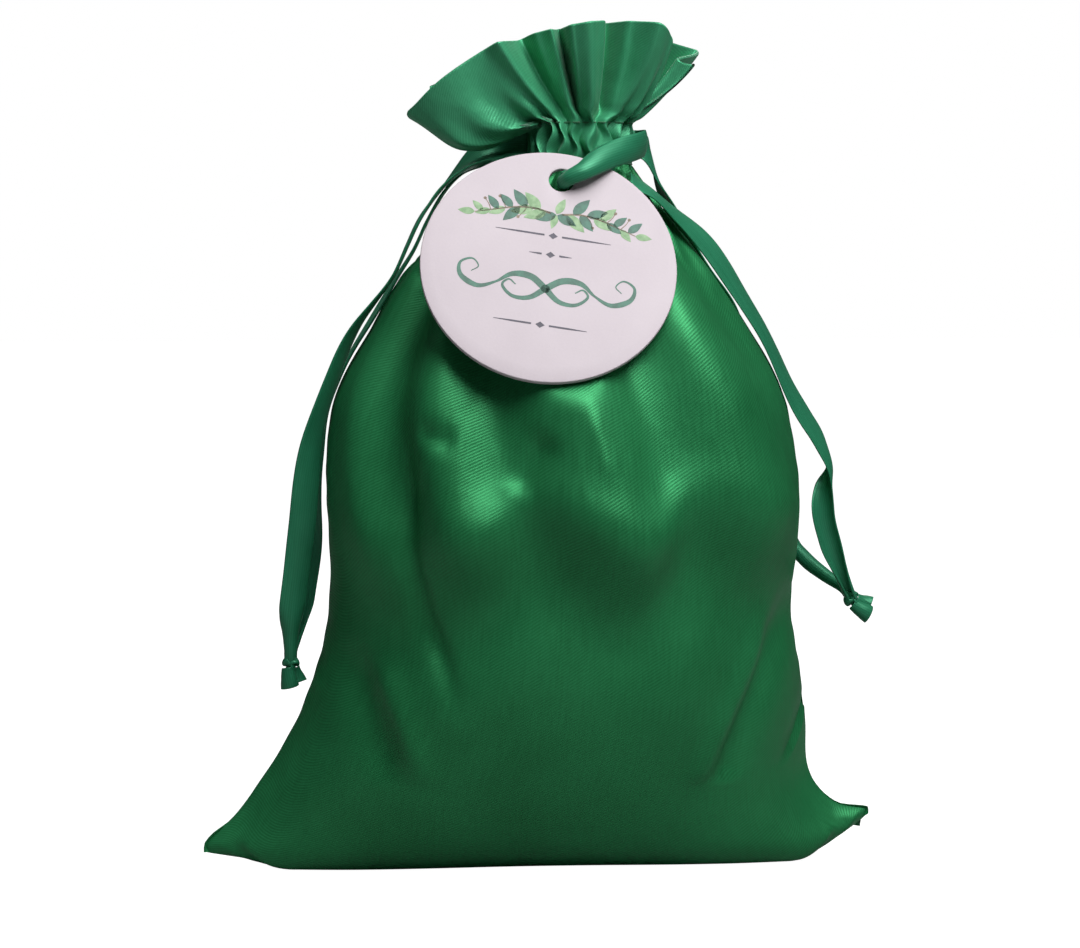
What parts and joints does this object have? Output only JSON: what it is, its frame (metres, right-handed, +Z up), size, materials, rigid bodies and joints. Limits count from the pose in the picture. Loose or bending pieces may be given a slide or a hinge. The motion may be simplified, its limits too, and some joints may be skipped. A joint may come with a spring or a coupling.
{
  "type": "fabric gift sack",
  "caption": "Satin drawstring gift sack standing filled on its base, with a gathered neck, flared ruffle, knotted ribbon tails and a round hang tag.",
  "frame": {"origin": "on the floor plane, at the middle of the standing sack's bounding box without its ribbons", "axes": "+Z up the sack to the ruffle, -Y out of the front where the tag hangs, +X to the right as seen from the front"},
  "size_m": [0.1508, 0.0831, 0.1897],
  "materials": {
    "satin": "deep green satin with a soft sheen and a fine diagonal weave",
    "satin_fold": "the same satin, folded and gathered, so darker",
    "ribbon": "narrow woven satin ribbon, matching green",
    "thread": "matching sewing thread",
    "tag_board": "thick matte card in a very pale pink white"
  },
  "bodies": {
    "sack": {"front_panel": "satin", "back_panel": "satin", "left_side_seam": "satin_fold", "right_side_seam": "satin_fold", "bottom_seam": "satin_fold", "front_header": "satin", "back_header": "satin", "front_casing": "satin_fold", "back_casing": "satin_fold", "upper_stitching": "thread", "lower_stitching": "thread", "left_ribbon_loop": "ribbon", "right_ribbon_loop": "ribbon", "left_front_lead": "ribbon", "left_back_lead": "ribbon", "right_front_lead": "ribbon", "right_back_lead": "ribbon"},
    "left_tails": {"left_front_tail": "ribbon", "left_back_tail": "ribbon", "left_knot": "ribbon"},
    "right_tails": {"right_front_tail": "ribbon", "right_back_tail": "ribbon", "right_knot": "ribbon"},
    "bight": {"tag_bight": "ribbon"},
    "tag": {"gift_tag": "tag_board"}
  },
  "joints": [
    {"name": "left_tails_swing", "type": "hinge", "parent": "sack", "child": "left_tails", "pos_m": [-0.0217, 0.0025, 0.1499], "axis": [0, 1, 0], "range_deg": [0, 55]},
    {"name": "right_tails_swing", "type": "hinge", "parent": "sack", "child": "right_tails", "pos_m": [0.0305, 0.0007, 0.1447], "axis": [0, -1, 0], "range_deg": [0, 55]},
    {"name": "tag_lift", "type": "hinge", "parent": "sack", "child": "bight", "pos_m": [0.0218, 0.0006, 0.1605], "axis": [-1, 0, 0], "range_deg": [0, 30]},
    {"name": "tag_turn", "type": "hinge", "parent": "bight", "child": "tag", "pos_m": [0.00325, -0.01629, 0.15206], "axis": [0, -0.8829, 0.4695], "range_deg": [-15, 10]}
  ]
}
